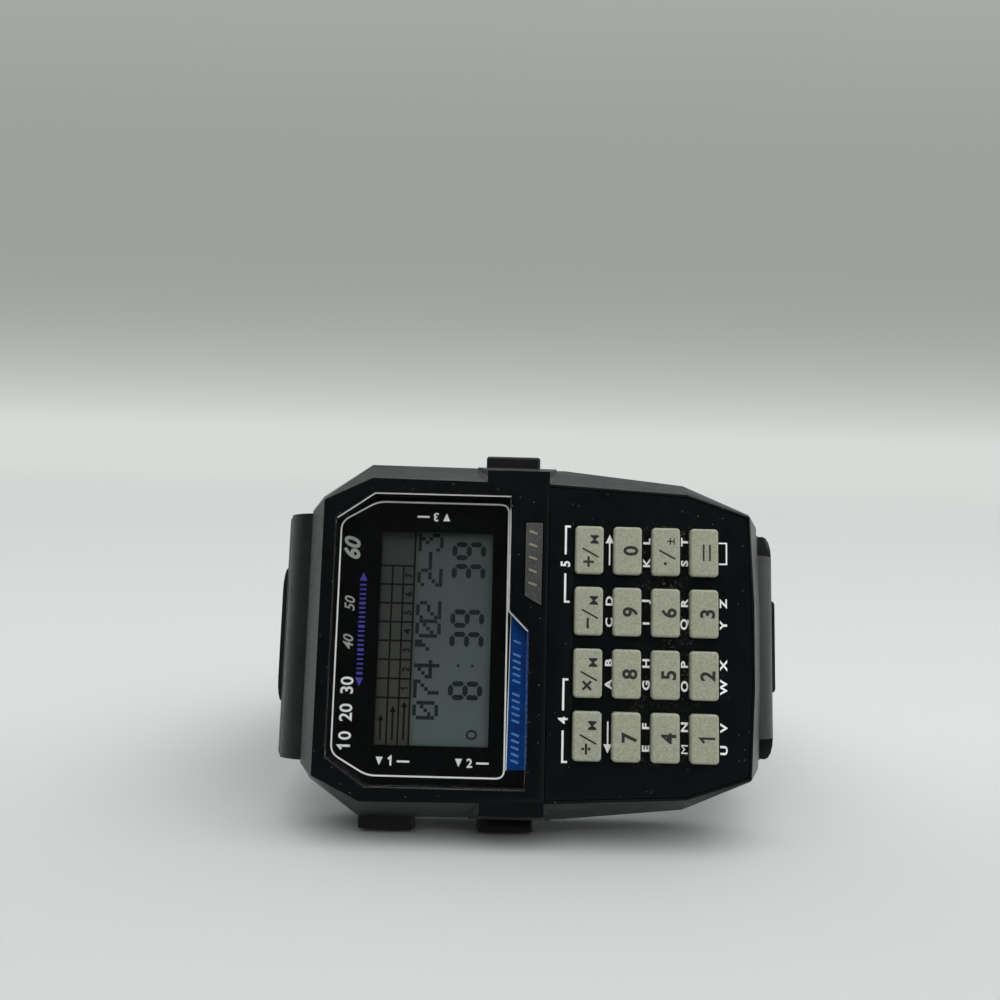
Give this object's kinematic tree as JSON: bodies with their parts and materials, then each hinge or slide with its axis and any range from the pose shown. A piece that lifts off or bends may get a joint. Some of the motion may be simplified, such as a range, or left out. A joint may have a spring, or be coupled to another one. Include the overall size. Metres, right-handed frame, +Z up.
{
  "type": "digital watch",
  "caption": "Digital wristwatch with a calculator keypad beside its display, lying on its side with the strap closed.",
  "frame": {"origin": "on the surface that the watch lies on, under the middle of its outline", "axes": "+X from the 12 o'clock end to the 6 o'clock end, +Y from the face towards the strap's back, +Z up, towards the 3 o'clock side"},
  "size_m": [0.0576, 0.0606, 0.0398],
  "materials": {
    "case_resin": "fine satin grain, moulded black resin",
    "strap_resin": "matt moulded strap resin",
    "panel_print": "printed black keypad panel",
    "crystal_glass": "clear polished window",
    "mask_black": "black printed mask",
    "accent_blue": "bright blue print",
    "lcd_glass": "grey-green liquid crystal cell",
    "foil": "reflecting foil",
    "light_panel": "pale electroluminescent panel",
    "black_rubber": "soft black rubber",
    "mat_rubber": "grey silicone rubber",
    "module_plastic": "off-white moulded plastic",
    "board_green": "green circuit board",
    "chip_black": "black resin blob",
    "steel": "brushed stainless steel",
    "bright_metal": "bright plated metal",
    "contact_brass": "plated brass",
    "insulator": "amber insulating film",
    "key_cream": "warm grey moulded key",
    "light_bar": "satin grey bar"
  },
  "bodies": {
    "case": {"case_body": "case_resin", "keypad_panel": "panel_print", "crystal": "crystal_glass", "crystal_gasket": "black_rubber", "accent_plate": "accent_blue", "display_mask": "mask_black", "lcd_cell": "lcd_glass", "lcd_reflector": "foil", "backlight_panel": "light_panel", "connector_strips": "mat_rubber", "module_frame": "module_plastic", "key_mat": "mat_rubber", "circuit_board": "board_green", "main_chip": "chip_black", "quartz_can": "bright_metal", "backlight_coil": "contact_brass", "battery_holder": "module_plastic", "battery": "steel", "battery_clip": "steel", "insulator_sheet": "insulator", "buzzer_disc": "contact_brass", "buzzer_spring": "steel", "side_contacts": "contact_brass", "module_screws": "bright_metal", "back_gasket": "black_rubber", "button_seals": "black_rubber", "case_back": "steel", "case_back_screws": "bright_metal", "spring_bar_12": "steel", "spring_bar_6": "steel"},
    "key_divide": {"key_divide": "key_cream"},
    "key_7": {"key_7": "key_cream"},
    "key_4": {"key_4": "key_cream"},
    "key_1": {"key_1": "key_cream"},
    "key_times": {"key_times": "key_cream"},
    "key_8": {"key_8": "key_cream"},
    "key_5": {"key_5": "key_cream"},
    "key_2": {"key_2": "key_cream"},
    "key_minus": {"key_minus": "key_cream"},
    "key_9": {"key_9": "key_cream"},
    "key_6": {"key_6": "key_cream"},
    "key_3": {"key_3": "key_cream"},
    "key_plus": {"key_plus": "key_cream"},
    "key_0": {"key_0": "key_cream"},
    "key_point": {"key_point": "key_cream"},
    "key_equals": {"key_equals": "key_cream"},
    "light_button": {"light_button": "light_bar"},
    "adjust_button": {"adjust_button": "case_resin", "adjust_clip": "steel"},
    "mode_button": {"mode_button": "case_resin", "mode_clip": "steel"},
    "clear_button": {"clear_button": "case_resin", "clear_clip": "steel"},
    "strap_6": {"strap_6": "strap_resin"},
    "strap_12": {"strap_12": "strap_resin", "buckle_pin": "steel"},
    "buckle_frame": {"buckle_frame": "steel"},
    "buckle_tongue": {"buckle_tongue": "steel"},
    "keeper": {"keeper": "strap_resin"}
  },
  "joints": [
    {"name": "press_divide", "type": "slide", "parent": "case", "child": "key_divide", "axis": [0, 0.9749, -0.2227], "range_m": [0, 0.00055], "stiffness_N_per_m": 1000, "springref_m": -0.00002},
    {"name": "press_7", "type": "slide", "parent": "case", "child": "key_7", "axis": [0, 0.9749, -0.2227], "range_m": [0, 0.00055], "stiffness_N_per_m": 1000, "springref_m": -0.00002},
    {"name": "press_4", "type": "slide", "parent": "case", "child": "key_4", "axis": [0, 0.9749, -0.2227], "range_m": [0, 0.00055], "stiffness_N_per_m": 1000, "springref_m": -0.00002},
    {"name": "press_1", "type": "slide", "parent": "case", "child": "key_1", "axis": [0, 0.9749, -0.2227], "range_m": [0, 0.00055], "stiffness_N_per_m": 1000, "springref_m": -0.00002},
    {"name": "press_times", "type": "slide", "parent": "case", "child": "key_times", "axis": [0, 0.9749, -0.2227], "range_m": [0, 0.00055], "stiffness_N_per_m": 1000, "springref_m": -0.00002},
    {"name": "press_8", "type": "slide", "parent": "case", "child": "key_8", "axis": [0, 0.9749, -0.2227], "range_m": [0, 0.00055], "stiffness_N_per_m": 1000, "springref_m": -0.00002},
    {"name": "press_5", "type": "slide", "parent": "case", "child": "key_5", "axis": [0, 0.9749, -0.2227], "range_m": [0, 0.00055], "stiffness_N_per_m": 1000, "springref_m": -0.00002},
    {"name": "press_2", "type": "slide", "parent": "case", "child": "key_2", "axis": [0, 0.9749, -0.2227], "range_m": [0, 0.00055], "stiffness_N_per_m": 1000, "springref_m": -0.00002},
    {"name": "press_minus", "type": "slide", "parent": "case", "child": "key_minus", "axis": [0, 0.9749, -0.2227], "range_m": [0, 0.00055], "stiffness_N_per_m": 1000, "springref_m": -0.00002},
    {"name": "press_9", "type": "slide", "parent": "case", "child": "key_9", "axis": [0, 0.9749, -0.2227], "range_m": [0, 0.00055], "stiffness_N_per_m": 1000, "springref_m": -0.00002},
    {"name": "press_6", "type": "slide", "parent": "case", "child": "key_6", "axis": [0, 0.9749, -0.2227], "range_m": [0, 0.00055], "stiffness_N_per_m": 1000, "springref_m": -0.00002},
    {"name": "press_3", "type": "slide", "parent": "case", "child": "key_3", "axis": [0, 0.9749, -0.2227], "range_m": [0, 0.00055], "stiffness_N_per_m": 1000, "springref_m": -0.00002},
    {"name": "press_plus", "type": "slide", "parent": "case", "child": "key_plus", "axis": [0, 0.9749, -0.2227], "range_m": [0, 0.00055], "stiffness_N_per_m": 1000, "springref_m": -0.00002},
    {"name": "press_0", "type": "slide", "parent": "case", "child": "key_0", "axis": [0, 0.9749, -0.2227], "range_m": [0, 0.00055], "stiffness_N_per_m": 1000, "springref_m": -0.00002},
    {"name": "press_point", "type": "slide", "parent": "case", "child": "key_point", "axis": [0, 0.9749, -0.2227], "range_m": [0, 0.00055], "stiffness_N_per_m": 1000, "springref_m": -0.00002},
    {"name": "press_equals", "type": "slide", "parent": "case", "child": "key_equals", "axis": [0, 0.9749, -0.2227], "range_m": [0, 0.00055], "stiffness_N_per_m": 1000, "springref_m": -0.00002},
    {"name": "press_light", "type": "slide", "parent": "case", "child": "light_button", "axis": [0, 0.9749, -0.2227], "range_m": [0, 0.0005], "stiffness_N_per_m": 1000, "springref_m": -0.00002},
    {"name": "press_adjust", "type": "slide", "parent": "case", "child": "adjust_button", "axis": [0, 0.2227, 0.9749], "range_m": [0, 0.0008], "stiffness_N_per_m": 1500, "springref_m": -0.0003},
    {"name": "press_mode", "type": "slide", "parent": "case", "child": "mode_button", "axis": [0, 0.2227, 0.9749], "range_m": [0, 0.0008], "stiffness_N_per_m": 1500, "springref_m": -0.0003},
    {"name": "press_clear", "type": "slide", "parent": "case", "child": "clear_button", "axis": [0, -0.2227, -0.9749], "range_m": [0, 0.0008], "stiffness_N_per_m": 1500, "springref_m": -0.0003},
    {"name": "strap_6_swing", "type": "hinge", "parent": "case", "child": "strap_6", "pos_m": [0.02343, -0.01931, 0.01951], "axis": [0, -0.2227, -0.9749], "range_deg": [0, 62]},
    {"name": "strap_12_swing", "type": "hinge", "parent": "case", "child": "strap_12", "pos_m": [-0.02297, -0.01931, 0.01951], "axis": [0, 0.2227, 0.9749], "range_deg": [0, 44]},
    {"name": "buckle_swing", "type": "hinge", "parent": "strap_12", "child": "buckle_frame", "pos_m": [0.00343, 0.02043, 0.01043], "axis": [0, 0.2227, 0.9749], "range_deg": [-60, 0]},
    {"name": "tongue_swing", "type": "hinge", "parent": "buckle_frame", "child": "buckle_tongue", "pos_m": [0.00343, 0.02043, 0.01043], "axis": [0, 0.2227, 0.9749], "range_deg": [0, 12]},
    {"name": "keeper_slide", "type": "slide", "parent": "strap_12", "child": "keeper", "axis": [-0.829, -0.5452, 0.1245], "range_m": [-0.0012, 0.0012]}
  ],
  "couplings": [
    {"joint": "strap_12_swing", "follows": "strap_6_swing", "ratio": 0.7}
  ]
}
